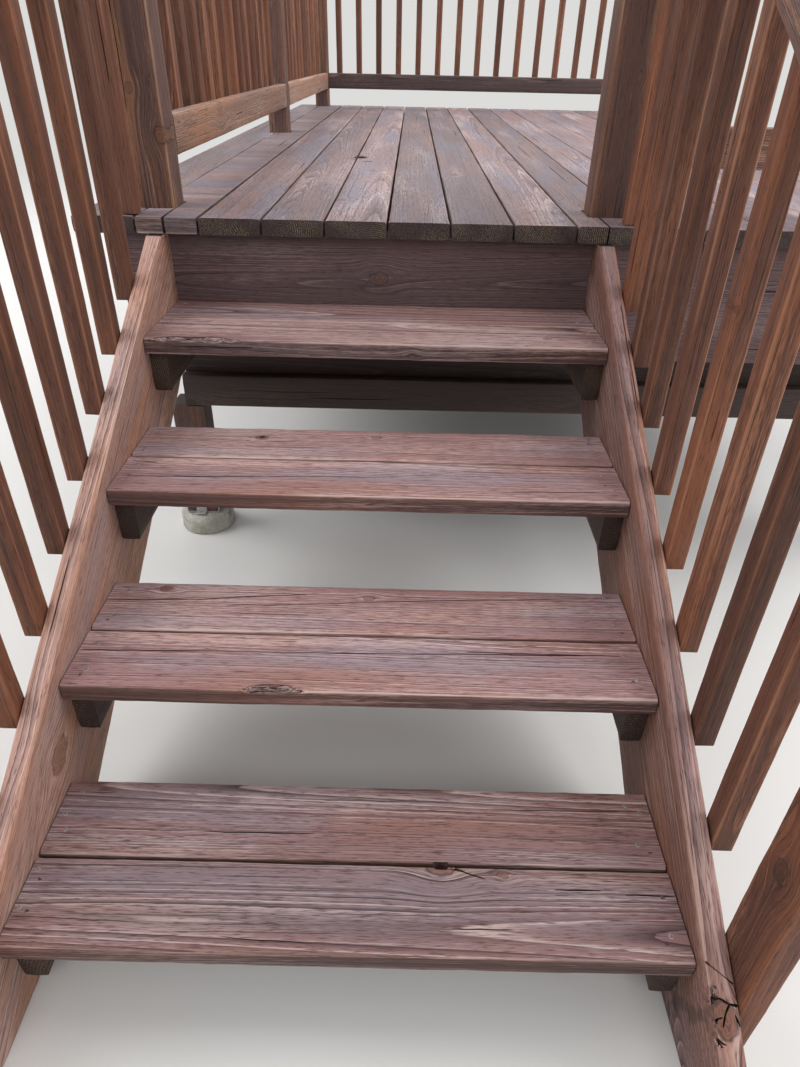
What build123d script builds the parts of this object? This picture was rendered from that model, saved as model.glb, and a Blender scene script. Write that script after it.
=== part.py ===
from build123d import *
import os
from math import atan2, cos

# Wooden deck stairs: four open treads rise between two closed plank stringers to a raised deck
# with its rims, joists, beams, guards and handrails. Millimetres, +Z up, ground at Z = 0.
# X runs across the stairs, Y runs up them. The origin is under the middle of the whole outline.

# Sawn timber sections
PLANK = 38.0
NARROW = 89.0
POST = 89.0
BOARD = 140.0
BEAM_DEPTH = 184.0
JOIST_DEPTH = 286.0
STRINGER_DEPTH = 286.0
BALUSTER = 38.0
EASE = 2.5

# Stairs
STAIR_CLEAR = 985.0
TREADS = 4
RISE = 180.0
RUN = 326.0
TOP_RISE = 194.0
TREAD_GAP = 3.0
TREAD_END_GAP = 0.6
RIM_GAP = 2.0
EDGE_ABOVE_NOSING = 30.0
TOE_REACH = 190.0
CLEAT_SETBACK = 22.0
CLEAT_BACK_GAP = 12.0

# Handrail of the stairs
RAIL_CLEAR = 796.0
CAP_WIDTH = 140.0
CAP_REACH = 34.0
STAIR_BALUSTERS = 8
STAIR_BALUSTER_PITCH = 134.0
FIRST_BALUSTER = 127.0
BALUSTER_LIFT = 3.0
FOOT_NEWEL_BACK = 32.0
SHORT_BALUSTER_GAP = 62.0
SHORT_BALUSTER_OUT = 20.0

# Deck
BOARD_GAP = 3.0
BOARDS_LEFT_OF_STAIR = 2
BOARDS = 16
FIRST_JOINT = -413.7
DECK_LENGTH = 4015.0
DECK_OVERHANG = 38.0
JOISTS = 10
NOTCH_GAP = 3.0
FILLER_SEAM = 3.0

# Guard round the deck
GUARD_RAIL_CLEAR = 100.0
GUARD_TOP_RAIL = 813.0
NEWEL_HEIGHT = 990.0
GUARD_BALUSTER_LIFT = 6.0
SIDE_PITCH = 122.5
BACK_PITCH = 129.0
SIDE_BALUSTERS = 14
BACK_BALUSTERS = 15
FRONT_BALUSTERS = 6

# Feet
BEAM_END_SETBACK = 42.0
PIER_RADIUS = 80.0
PIER_HEIGHT = 60.0
PIER_EASE = 14.0
BASE_METAL = 3.0
BASE_EAR = 60.0

# Heights
DECK_TOP = TREADS * RISE + TOP_RISE
DECK_UNDER = DECK_TOP - PLANK
JOIST_UNDER = DECK_UNDER - JOIST_DEPTH
BEAM_UNDER = JOIST_UNDER - BEAM_DEPTH
TREAD_DEPTH = 2 * BOARD + TREAD_GAP

# Places across the stairs, measured from the middle of the flight and then moved to the origin
BOARD_PITCH = BOARD + BOARD_GAP
half = STAIR_CLEAR / 2
deck_low_x = FIRST_JOINT - BOARDS_LEFT_OF_STAIR * BOARD_PITCH + BOARD_GAP / 2
deck_high_x = deck_low_x + BOARDS * BOARD_PITCH - BOARD_GAP
MIDDLE = -(deck_low_x + deck_high_x) / 2
DECK_LEFT = MIDDLE + deck_low_x
DECK_RIGHT = MIDDLE + deck_high_x
IN_LEFT = MIDDLE - half
IN_RIGHT = MIDDLE + half
POST_LEFT = IN_LEFT - POST
RIM_LEFT = POST_LEFT - PLANK
FAR_POST = DECK_RIGHT - PLANK - POST

# Places along the stairs, measured from the first nosing and then moved to the origin
to_rim = (TREADS - 1) * RUN + TREAD_DEPTH + RIM_GAP
deck_end = to_rim - DECK_OVERHANG + DECK_LENGTH
NOSING = (TOE_REACH - deck_end) / 2
RIM_FACE = NOSING + to_rim
DECK_FRONT = RIM_FACE - DECK_OVERHANG
DECK_BACK = DECK_FRONT + DECK_LENGTH
FRONT_POST = RIM_FACE + 2 * PLANK
BACK_POST = DECK_BACK - PLANK - POST
MID_POST = (FRONT_POST + BACK_POST) / 2
POST_ROWS = [FRONT_POST, MID_POST, BACK_POST]

PITCH = atan2(RISE, RUN)
SLOPE = RISE / RUN
GROUND = 0.0


def nosing_height(y):
    """Height of the line through the tread noses."""
    return RISE + (y - NOSING) * SLOPE


def lumber(x, y, z, along):
    """One straight stick with eased edges between its (low, high) faces, its grain along an axis."""
    middle = Vector(sum(x) / 2, sum(y) / 2, sum(z) / 2)
    if along == "x":
        start = Plane((x[0], middle.Y, middle.Z), x_dir=(0, 1, 0), z_dir=(1, 0, 0))
        wide, high, length = y[1] - y[0], z[1] - z[0], x[1] - x[0]
    elif along == "y":
        start = Plane((middle.X, y[0], middle.Z), x_dir=(1, 0, 0), z_dir=(0, 1, 0))
        wide, high, length = x[1] - x[0], z[1] - z[0], y[1] - y[0]
    else:
        start = Plane((middle.X, middle.Y, z[0]))
        wide, high, length = x[1] - x[0], y[1] - y[0], z[1] - z[0]
    with BuildSketch(start) as section:
        Rectangle(wide, high)
        chamfer(section.vertices(), EASE)
    extrude(section.sketch, amount=length)


def sloped(x, outline):
    """A plank that leans with the flight: its side outline in Y and Z, sawn to its thickness."""
    with BuildSketch(Plane((x[0], 0, 0), x_dir=(0, 1, 0), z_dir=(1, 0, 0))) as side:
        with BuildLine():
            Polyline(*outline, close=True)
        make_face()
    extrude(side.sketch, amount=x[1] - x[0])


def in_a_row(count, pitch, low, high):
    """Low faces of a count of balusters at one pitch, in the middle between two posts."""
    first = (low + high - BALUSTER - (count - 1) * pitch) / 2
    return [first + n * pitch for n in range(count)]


def save(piece, name):
    """Name a finished sub-part and write it beside the others."""
    piece.part.label = name
    export_step(piece.part, f"parts/{name}.step")


os.makedirs("parts", exist_ok=True)

# Stringers: planks on edge, level at the foot, plumb at the toe and against the rim, and cut
# level where they tuck under the overhang of the deck boards.
stringer_drop = STRINGER_DEPTH / cos(PITCH)
toe = NOSING - TOE_REACH
edge_at_toe = nosing_height(toe) + EDGE_ABOVE_NOSING
level_cut = NOSING + (DECK_UNDER - EDGE_ABOVE_NOSING - RISE) / SLOPE
heel = NOSING + (stringer_drop - EDGE_ABOVE_NOSING - RISE) / SLOPE
lower_end = nosing_height(RIM_FACE) + EDGE_ABOVE_NOSING - stringer_drop
stringer_outline = [
    (toe, GROUND),
    (heel, GROUND),
    (RIM_FACE, lower_end),
    (RIM_FACE, DECK_UNDER),
    (level_cut, DECK_UNDER),
    (toe, edge_at_toe),
]

with BuildPart() as stringer_left:
    sloped((IN_LEFT - PLANK, IN_LEFT), stringer_outline)
    chamfer(stringer_left.edges().filter_by(Plane.YZ).sort_by(SortBy.LENGTH)[-4:], EASE)
save(stringer_left, "stringer_left")

with BuildPart() as stringer_right:
    sloped((IN_RIGHT, IN_RIGHT + PLANK), stringer_outline)
    chamfer(stringer_right.edges().filter_by(Plane.YZ).sort_by(SortBy.LENGTH)[-4:], EASE)
save(stringer_right, "stringer_right")

# Treads: two boards each, side by side with a gap, laid on the cleats between the stringers.
tread_span = (IN_LEFT + TREAD_END_GAP, IN_RIGHT - TREAD_END_GAP)
for step in range(TREADS):
    nose = NOSING + step * RUN
    top = RISE * (step + 1)
    with BuildPart() as tread:
        for front in (nose, nose + BOARD + TREAD_GAP):
            lumber(tread_span, (front, front + BOARD), (top - PLANK, top), "x")
    save(tread, f"tread_{step + 1}")

# Cleats: one block on edge under each end of each tread, fixed to the stringer's inner face.
for side, inner in (("left", (IN_LEFT, IN_LEFT + PLANK)), ("right", (IN_RIGHT - PLANK, IN_RIGHT))):
    with BuildPart() as cleats:
        for step in range(TREADS):
            nose = NOSING + step * RUN
            under = RISE * (step + 1) - PLANK
            reach = (nose + CLEAT_SETBACK, nose + TREAD_DEPTH - CLEAT_BACK_GAP)
            lumber(inner, reach, (under - NARROW, under), "y")
    save(cleats, f"cleats_{side}")

# Handrails: the rail stands flush over the stringer, the balusters hang on its outer face, and a
# flat cap covers both. The rail starts at the foot newel and dies into the head newel.
rail_drop = NARROW / cos(PITCH)
cap_drop = PLANK / cos(PITCH)
foot_newel = (NOSING + FOOT_NEWEL_BACK - NARROW, NOSING + FOOT_NEWEL_BACK)
cap_foot = foot_newel[0] - CAP_REACH
rail_top = RAIL_CLEAR + rail_drop
rail_outline = [
    (foot_newel[0], nosing_height(foot_newel[0]) + RAIL_CLEAR),
    (FRONT_POST, nosing_height(FRONT_POST) + RAIL_CLEAR),
    (FRONT_POST, nosing_height(FRONT_POST) + rail_top),
    (foot_newel[0], nosing_height(foot_newel[0]) + rail_top),
]
cap_outline = [
    (cap_foot, nosing_height(cap_foot) + rail_top),
    (FRONT_POST, nosing_height(FRONT_POST) + rail_top),
    (FRONT_POST, nosing_height(FRONT_POST) + rail_top + cap_drop),
    (cap_foot, nosing_height(cap_foot) + rail_top + cap_drop),
]
under_cap = Plane(
    (0, NOSING, RISE + rail_top), x_dir=(1, 0, 0), z_dir=(0, -SLOPE, 1)
)
tall = DECK_TOP + 2 * NEWEL_HEIGHT
short_baluster = FRONT_POST - SHORT_BALUSTER_GAP - BALUSTER

for side, way, inner in (("left", -1, IN_LEFT), ("right", 1, IN_RIGHT)):
    rail_x = sorted((inner, inner + way * PLANK))
    row_x = sorted((inner + way * PLANK, inner + way * (PLANK + BALUSTER)))
    cap_x = (sum(rail_x + row_x) / 4 - CAP_WIDTH / 2, sum(rail_x + row_x) / 4 + CAP_WIDTH / 2)

    with BuildPart() as foot:
        lumber(row_x, foot_newel, (GROUND, tall), "z")
        split(bisect_by=under_cap, keep=Keep.BOTTOM)
    save(foot, f"foot_newel_{side}")

    with BuildPart() as balusters:
        for n in range(STAIR_BALUSTERS):
            front = NOSING + FIRST_BALUSTER + n * STAIR_BALUSTER_PITCH
            lumber(row_x, (front, front + BALUSTER), (nosing_height(front) + BALUSTER_LIFT, tall), "z")
        out_x = (row_x[0] + way * SHORT_BALUSTER_OUT, row_x[1] + way * SHORT_BALUSTER_OUT)
        lumber(out_x, (short_baluster, short_baluster + BALUSTER), (DECK_TOP, tall), "z")
        split(bisect_by=under_cap, keep=Keep.BOTTOM)
    save(balusters, f"stair_balusters_{side}")

    with BuildPart() as rail:
        sloped(rail_x, rail_outline)
        chamfer(rail.edges().filter_by(Plane.YZ).sort_by(SortBy.LENGTH)[-4:], EASE)
    save(rail, f"stair_rail_{side}")

    with BuildPart() as cap:
        sloped(cap_x, cap_outline)
        chamfer(cap.edges().filter_by(Plane.YZ).sort_by(SortBy.LENGTH)[-4:], EASE)
    save(cap, f"stair_cap_{side}")

# Head newels: posts either side of the stair head, taller than the guards that meet them.
newel_y = (FRONT_POST, FRONT_POST + POST)
newel_z = (JOIST_UNDER, DECK_TOP + NEWEL_HEIGHT)
for side, newel_x in (("left", (POST_LEFT, IN_LEFT)), ("right", (IN_RIGHT, IN_RIGHT + POST))):
    with BuildPart() as newel:
        lumber(newel_x, newel_y, newel_z, "z")
        chamfer(newel.faces().sort_by(Axis.Z)[-1].edges(), EASE)
    save(newel, f"head_newel_{side}")

# Deck boards: they run away from the stairs, notched round the posts. In front of each head newel
# the end board is ripped and a short filler closes the corner.
posts_x = (POST_LEFT, FAR_POST)
post_places = [(x, y) for x in posts_x for y in (FRONT_POST, BACK_POST)]
post_places += [(POST_LEFT, MID_POST), (IN_RIGHT, FRONT_POST)]
with BuildPart() as deck_boards:
    for n in range(BOARDS):
        low = DECK_LEFT + n * BOARD_PITCH
        lumber((low, low + BOARD), (DECK_FRONT, DECK_BACK), (DECK_UNDER, DECK_TOP), "y")
    with Locations([(x + POST / 2, y + POST / 2, DECK_TOP) for x, y in post_places]):
        Box(POST + 2 * NOTCH_GAP, POST + 2 * NOTCH_GAP, 3 * PLANK, mode=Mode.SUBTRACT)
    seam_length = FRONT_POST - NOTCH_GAP - DECK_FRONT
    seam_y = DECK_FRONT + seam_length / 2
    left_seam = IN_LEFT + NOTCH_GAP - FILLER_SEAM / 2
    right_seam = IN_RIGHT + NOTCH_GAP + PLANK / 2
    with Locations((left_seam, seam_y, DECK_TOP), (right_seam, seam_y, DECK_TOP)):
        Box(FILLER_SEAM, seam_length + NOTCH_GAP, 3 * PLANK, mode=Mode.SUBTRACT)
save(deck_boards, "deck_boards")

# Rims and joists: a doubled rim at the front, single rims round the other sides, and joists
# across the deck between them.
joist_z = (JOIST_UNDER, DECK_UNDER)
inside_x = (POST_LEFT, DECK_RIGHT - PLANK)
inside_y = (RIM_FACE + PLANK, DECK_BACK - PLANK)

with BuildPart() as front_rim:
    lumber((RIM_LEFT, DECK_RIGHT), (RIM_FACE, RIM_FACE + PLANK), joist_z, "x")
save(front_rim, "front_rim")

with BuildPart() as front_rim_inner:
    lumber(inside_x, (RIM_FACE + PLANK, FRONT_POST), joist_z, "x")
save(front_rim_inner, "front_rim_inner")

with BuildPart() as back_rim:
    lumber((RIM_LEFT, DECK_RIGHT), (DECK_BACK - PLANK, DECK_BACK), joist_z, "x")
save(back_rim, "back_rim")

with BuildPart() as side_rim_left:
    lumber((RIM_LEFT, POST_LEFT), inside_y, joist_z, "y")
save(side_rim_left, "side_rim_left")

with BuildPart() as side_rim_right:
    lumber((DECK_RIGHT - PLANK, DECK_RIGHT), inside_y, joist_z, "y")
save(side_rim_right, "side_rim_right")

joist_first = FRONT_POST + POST
joist_pitch = (BACK_POST - PLANK - joist_first) / (JOISTS - 1)
with BuildPart() as joists:
    for n in range(JOISTS):
        front = joist_first + n * joist_pitch
        lumber(inside_x, (front, front + PLANK), joist_z, "x")
save(joists, "joists")

# Beams: a deep plank under each row of posts with a shallow facing on its front, bottoms flush.
beam_x = (POST_LEFT + BEAM_END_SETBACK, DECK_RIGHT)
with BuildPart() as beam_facings:
    for row in POST_ROWS:
        lumber(beam_x, (row, row + PLANK), (BEAM_UNDER, BEAM_UNDER + NARROW), "x")
save(beam_facings, "beam_facings")

with BuildPart() as beams:
    for row in POST_ROWS:
        lumber(beam_x, (row + PLANK, row + 2 * PLANK), (BEAM_UNDER, JOIST_UNDER), "x")
save(beams, "beams")

# Feet: a support post under each beam end in a metal shoe on a round pier.
feet = [(x, y) for x in posts_x for y in POST_ROWS]
shoe_floor = PIER_HEIGHT + BASE_METAL
with BuildPart() as support_posts:
    for x, y in feet:
        lumber((x, x + POST), (y, y + POST), (shoe_floor, BEAM_UNDER), "z")
save(support_posts, "support_posts")

with BuildPart() as post_bases:
    for x, y in feet:
        with BuildSketch(Plane((x + POST / 2, y, PIER_HEIGHT), x_dir=(1, 0, 0), z_dir=(0, -1, 0))) as shoe:
            with Locations((0, (BASE_METAL + BASE_EAR) / 2)):
                Rectangle(POST + 2 * BASE_METAL, BASE_METAL + BASE_EAR)
            with Locations((0, BASE_METAL + BASE_EAR)):
                Rectangle(POST, 2 * BASE_EAR, mode=Mode.SUBTRACT)
        extrude(shoe.sketch, amount=-POST)
save(post_bases, "post_bases")

with BuildPart() as piers:
    with BuildSketch(Plane.XY.offset(GROUND)):
        with Locations([(x + POST / 2, y + POST / 2) for x, y in feet]):
            Circle(PIER_RADIUS)
    extrude(amount=PIER_HEIGHT)
    chamfer(piers.faces().filter_by(Axis.Z).group_by(Axis.Z)[-1].edges(), PIER_EASE)
save(piers, "piers")

# Guard posts: they stand on the beams, at the back corners, halfway along the left side and at the
# front right, and carry the rails and the flat cap.
guard_rail_z = (DECK_TOP + GUARD_RAIL_CLEAR, DECK_TOP + GUARD_RAIL_CLEAR + NARROW)
top_rail_z = (DECK_TOP + GUARD_TOP_RAIL, DECK_TOP + GUARD_TOP_RAIL + NARROW)
guard_cap_z = (top_rail_z[1], top_rail_z[1] + PLANK)
guard_post_z = (JOIST_UNDER, top_rail_z[1])
post_corners = [(POST_LEFT, MID_POST), (POST_LEFT, BACK_POST), (FAR_POST, BACK_POST), (FAR_POST, FRONT_POST)]
with BuildPart() as guard_posts:
    for x, y in post_corners:
        lumber((x, x + POST), (y, y + POST), guard_post_z, "z")
save(guard_posts, "guard_posts")

# Guard bays: each has a low and a high rail flush with the posts' inner faces, and balusters on
# the rails' outer faces that end just above the foot of the low rail.
left_rail_x = (IN_LEFT - PLANK, IN_LEFT)
left_row_x = (IN_LEFT - PLANK - BALUSTER, IN_LEFT - PLANK)
left_bays = [(FRONT_POST + POST, MID_POST), (MID_POST + POST, BACK_POST)]
back_rail_y = (BACK_POST, BACK_POST + PLANK)
back_row_y = (BACK_POST + PLANK, BACK_POST + PLANK + BALUSTER)
back_bay = (IN_LEFT, FAR_POST)
front_rail_y = (FRONT_POST + POST - PLANK, FRONT_POST + POST)
front_row_y = (front_rail_y[0] - BALUSTER, front_rail_y[0])
front_bay = (IN_RIGHT + POST, FAR_POST)
row_z = (guard_rail_z[0] + GUARD_BALUSTER_LIFT, top_rail_z[1])

for level, rail_z in (("bottom", guard_rail_z), ("top", top_rail_z)):
    with BuildPart() as rails:
        for bay in left_bays:
            lumber(left_rail_x, bay, rail_z, "y")
    save(rails, f"guard_{level}_rail_left")

    with BuildPart() as rails:
        lumber(back_bay, back_rail_y, rail_z, "x")
    save(rails, f"guard_{level}_rail_back")

    with BuildPart() as rails:
        lumber(front_bay, front_rail_y, rail_z, "x")
    save(rails, f"guard_{level}_rail_front")

with BuildPart() as guard_balusters_left:
    for bay in left_bays:
        for front in in_a_row(SIDE_BALUSTERS, SIDE_PITCH, *bay):
            lumber(left_row_x, (front, front + BALUSTER), row_z, "z")
save(guard_balusters_left, "guard_balusters_left")

with BuildPart() as guard_balusters_back:
    for low in in_a_row(BACK_BALUSTERS, BACK_PITCH, *back_bay):
        lumber((low, low + BALUSTER), back_row_y, row_z, "z")
save(guard_balusters_back, "guard_balusters_back")

with BuildPart() as guard_balusters_front:
    for low in in_a_row(FRONT_BALUSTERS, BACK_PITCH, *front_bay):
        lumber((low, low + BALUSTER), front_row_y, row_z, "z")
save(guard_balusters_front, "guard_balusters_front")

# Guard caps: flat boards over the rails, the balusters and the posts, butted at the corner and
# against the head newels.
left_cap_x = (IN_LEFT - PLANK - CAP_WIDTH / 2, IN_LEFT - PLANK + CAP_WIDTH / 2)
back_cap_y = (BACK_POST + PLANK - CAP_WIDTH / 2, BACK_POST + PLANK + CAP_WIDTH / 2)
front_cap_y = (FRONT_POST, FRONT_POST + CAP_WIDTH)
cap_end = FAR_POST + POST + CAP_REACH

with BuildPart() as guard_cap_left:
    lumber(left_cap_x, (FRONT_POST + POST, back_cap_y[1]), guard_cap_z, "y")
save(guard_cap_left, "guard_cap_left")

with BuildPart() as guard_cap_back:
    lumber((left_cap_x[1], cap_end), back_cap_y, guard_cap_z, "x")
save(guard_cap_back, "guard_cap_back")

with BuildPart() as guard_cap_front:
    lumber((IN_RIGHT + POST, cap_end), front_cap_y, guard_cap_z, "x")
save(guard_cap_front, "guard_cap_front")
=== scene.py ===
import math
import random
from functools import partial

import bpy
import numpy as np
from mathutils import Matrix, Vector


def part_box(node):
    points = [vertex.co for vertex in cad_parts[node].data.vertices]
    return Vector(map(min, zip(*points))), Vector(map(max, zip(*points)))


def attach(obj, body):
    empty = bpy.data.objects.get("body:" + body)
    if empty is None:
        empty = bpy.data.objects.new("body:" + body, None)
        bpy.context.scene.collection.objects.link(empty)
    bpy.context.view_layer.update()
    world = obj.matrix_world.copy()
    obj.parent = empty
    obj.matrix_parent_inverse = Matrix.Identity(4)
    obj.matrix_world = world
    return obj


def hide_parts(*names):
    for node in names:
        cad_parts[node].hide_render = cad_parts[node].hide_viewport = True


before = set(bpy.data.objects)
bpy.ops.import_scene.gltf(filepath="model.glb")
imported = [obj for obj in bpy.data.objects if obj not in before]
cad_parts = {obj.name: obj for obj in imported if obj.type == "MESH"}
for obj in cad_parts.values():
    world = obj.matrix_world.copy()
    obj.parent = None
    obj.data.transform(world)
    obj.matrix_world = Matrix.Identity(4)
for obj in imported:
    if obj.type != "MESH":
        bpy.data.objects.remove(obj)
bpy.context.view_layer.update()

# The view: someone stands at the foot of the stairs and looks down over the treads to the deck.
scene = bpy.context.scene
scene.view_settings.view_transform = "Standard"

EYE = (-0.3796, -3.0377, 1.2346)
LOOK_LEFT = 0.0031
LOOK_DOWN = 0.5883
HEAD_TILT = 0.0224
LENS = 24.438
SENSOR = 36.0

camera = bpy.data.objects.new("eye", bpy.data.cameras.new("eye"))
scene.collection.objects.link(camera)
camera.data.sensor_fit = "VERTICAL"
camera.data.sensor_width = SENSOR
camera.data.sensor_height = SENSOR
camera.data.lens = LENS
camera.data.clip_start = 0.02
camera.data.clip_end = 200.0
turn = Matrix.Rotation(LOOK_LEFT, 3, "Z") @ Matrix.Rotation(math.pi / 2 - LOOK_DOWN, 3, "X")
camera.matrix_world = Matrix.Translation(EYE) @ (turn @ Matrix.Rotation(HEAD_TILT, 3, "Z")).to_4x4()
scene.camera = camera


def feed(tree, node, feeds):
    """Give a node's inputs, by name or in their order, a socket to follow or a value to hold."""
    for slot, value in feeds.items() if isinstance(feeds, dict) else enumerate(feeds):
        if isinstance(value, bpy.types.NodeSocket):
            tree.links.new(value, node.inputs[slot])
        elif value is not None:
            node.inputs[slot].default_value = value


def put(tree, kind, feeds=(), out=0, **settings):
    """Place one shader node, set it, feed its inputs, and give its output."""
    node = tree.nodes.new("ShaderNode" + kind)
    for name, value in settings.items():
        setattr(node, name, value)
    feed(tree, node, feeds)
    return node.outputs[out]


def rise(tree, value, low, high):
    """Nothing below the low value and one above the high one, with a soft passage between."""
    return put(tree, "MapRange", (value, low, high), interpolation_type="SMOOTHSTEP")


def new_material(name):
    """A new material, its nodes, and the shader of its surface."""
    material = bpy.data.materials.new(name)
    material.use_nodes = True
    return material, material.node_tree, material.node_tree.nodes["Principled BSDF"]


def seen_directly(tree):
    """One for rays from the eye or off metal, and nothing for the light that falls on things."""
    rays = tree.nodes.new("ShaderNodeLightPath").outputs
    seen = put(tree, "Math", (rays["Is Camera Ray"], rays["Is Glossy Ray"]), operation="MAXIMUM")
    return put(tree, "Math", (seen, rays["Is Transmission Ray"]), operation="MAXIMUM")


# The floor: a sheet of pale studio paper that runs off into a backdrop of the same tone, so that
# no horizon shows. Near the stairs it takes their shadow.
FLOOR_SIZE = 120.0
FLOOR_LEVEL = -0.001
FLOOR_COLOUR = (0.72, 0.71, 0.69, 1.0)
BACKDROP_COLOUR = (0.72, 0.715, 0.70, 1.0)
FADE_FROM = 3.2
FADE_TO = 9.0
bpy.ops.object.select_all(action="DESELECT")
bpy.ops.mesh.primitive_plane_add(size=FLOOR_SIZE, location=(0, 0, FLOOR_LEVEL))
floor = bpy.context.object
floor.name = "studio_floor"
paper, tree, sheet = new_material("studio_paper")
feed(tree, sheet, {"Base Color": FLOOR_COLOUR, "Roughness": 0.9})
spot = put(tree, "TexCoord", out=3)
far = put(tree, "VectorMath", (spot,), out=1, operation="LENGTH")
faded = (rise(tree, far, FADE_FROM, FADE_TO), seen_directly(tree))
faded = put(tree, "Math", faded, operation="MULTIPLY")
glow = put(tree, "Emission", (BACKDROP_COLOUR, 1.0))
shown = put(tree, "MixShader", (faded, sheet.outputs[0], glow))
feed(tree, tree.nodes["Material Output"], {"Surface": shown})
floor.data.materials.append(paper)

# The light: an even sky and four wide soft lamps, the strongest on the right as in the garden.
SKY_COLOUR = (0.97, 0.98, 1.0, 1.0)
SKY_STRENGTH = 0.66
LAMP_WIDTH = 5.0
LAMP_AIM = Vector((0, 0, 0.6))
LAMPS = (
    ("lamp_left", (-5.5, -1.0, 6.0), 300.0),
    ("lamp_right", (5.5, -0.5, 6.0), 460.0),
    ("lamp_front", (0.0, -7.0, 5.5), 150.0),
    ("lamp_back", (-1.0, 7.0, 6.0), 220.0),
)
world = bpy.data.worlds.new("studio")
world.use_nodes = True
scene.world = world
tree = world.node_tree
sky = tree.nodes["Background"]
feed(tree, sky, {"Color": SKY_COLOUR, "Strength": SKY_STRENGTH})
backdrop = put(tree, "Background", (BACKDROP_COLOUR, 1.0))
shown = put(tree, "MixShader", (seen_directly(tree), sky.outputs[0], backdrop))
feed(tree, tree.nodes["World Output"], {"Surface": shown})
for lamp_name, place, power in LAMPS:
    lamp = bpy.data.objects.new(lamp_name, bpy.data.lights.new(lamp_name, "AREA"))
    lamp.data.shape = "DISK"
    lamp.data.size = LAMP_WIDTH
    lamp.data.energy = power
    lamp.location = place
    lamp.rotation_euler = (LAMP_AIM - Vector(place)).to_track_quat("-Z", "Y").to_euler()
    scene.collection.objects.link(lamp)

# Treads: two dressed boards side by side make each step. They are stained softwood, bleached and
# walked bare on top, split along the grain, and held to the cleats by screws beside old nails. Their noses
# and other sides are painted much darker than the tops, partly as shade.
X, Y, Z = Vector((1, 0, 0)), Vector((0, 1, 0)), Vector((0, 0, 1))
ALONG_X = (X, Y, Z)
ALONG_Y = (Y, X, Z)
ALONG_Z = (Z, X, Y)
NO_KNOT = (50.0, 50.0, 0.01)


def alone(piece):
    """Select one piece and nothing else."""
    bpy.ops.object.select_all(action="DESELECT")
    piece.select_set(True)
    bpy.context.view_layer.objects.active = piece


def join(pieces, name):
    """Join several pieces into one that sits at the origin."""
    bpy.ops.object.select_all(action="DESELECT")
    for piece in pieces:
        piece.select_set(True)
    bpy.context.view_layer.objects.active = pieces[0]
    if len(pieces) > 1:
        bpy.ops.object.join()
    whole = bpy.context.object
    whole.name = name
    bpy.ops.object.transform_apply(location=True, rotation=True, scale=True)
    return whole


def round_edges(piece, width, segments=1, sharper_than=30):
    """Round the edges of the active piece that are sharper than an angle in degrees."""
    rounding = piece.modifiers.new("rounding", "BEVEL")
    rounding.limit_method = "ANGLE"
    rounding.angle_limit = math.radians(sharper_than)
    rounding.width = width
    rounding.segments = segments
    bpy.ops.object.modifier_apply(modifier=rounding.name)


def sawn_copy(node, name, rounded=0.0009):
    """The sticks of a CAD node as a new piece, with whole faces and slightly rounded arrises."""
    piece = bpy.data.objects.new(name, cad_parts[node].data.copy())
    scene.collection.objects.link(piece)
    piece.data.materials.clear()
    alone(piece)
    bpy.ops.mesh.customdata_custom_splitnormals_clear()
    bpy.ops.object.mode_set(mode="EDIT")
    bpy.ops.mesh.select_all(action="SELECT")
    bpy.ops.mesh.remove_doubles(threshold=0.00002)
    bpy.ops.mesh.dissolve_limited(angle_limit=math.radians(1))
    bpy.ops.object.mode_set(mode="OBJECT")
    if rounded:
        round_edges(piece, rounded)
    return piece


def slice_up(piece, spacing):
    """Evenly spaced cuts square to each axis, so that the faces can bend and wear between them. An
    axis whose spacing is zero gets none."""
    for axis, step in enumerate(spacing):
        if not step:
            continue
        corners = [corner[axis] for corner in piece.bound_box]
        low, high = min(corners), max(corners)
        count = round((high - low) / step)
        normal = Vector((0, 0, 0))
        normal[axis] = 1
        alone(piece)
        bpy.ops.object.mode_set(mode="EDIT")
        for n in range(1, count):
            bpy.ops.mesh.select_all(action="SELECT")
            bpy.ops.mesh.bisect(plane_co=normal * (low + (high - low) * n / count), plane_no=normal)
        bpy.ops.object.mode_set(mode="OBJECT")


def stick_of_each_point(mesh):
    """For every vertex the number of the separate stick that it belongs to."""
    ends = np.empty(len(mesh.edges) * 2, np.int64)
    mesh.edges.foreach_get("vertices", ends)
    a, b = ends.reshape(-1, 2).T
    label = np.arange(len(mesh.vertices))
    while True:
        least = np.minimum(label[a], label[b])
        lower = label.copy()
        np.minimum.at(lower, a, least)
        np.minimum.at(lower, b, least)
        lower = lower[lower]
        if (lower == label).all():
            return label
        label = lower


def sticks_in(piece, axes):
    """Each vertex's place along, across and through the grain, and each stick's members and box."""
    points = np.empty(len(piece.data.vertices) * 3)
    piece.data.vertices.foreach_get("co", points)
    local = points.reshape(-1, 3) @ np.array(axes).T
    label = stick_of_each_point(piece.data)
    sticks = []
    for number in np.unique(label):
        members = np.flatnonzero(label == number)
        low, high = local[members].min(0), local[members].max(0)
        sticks.append((members, (low + high) / 2, (high - low) / 2))
    sticks.sort(key=lambda stick: tuple(np.round(stick[1] / 0.01)))
    return local, sticks


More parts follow.
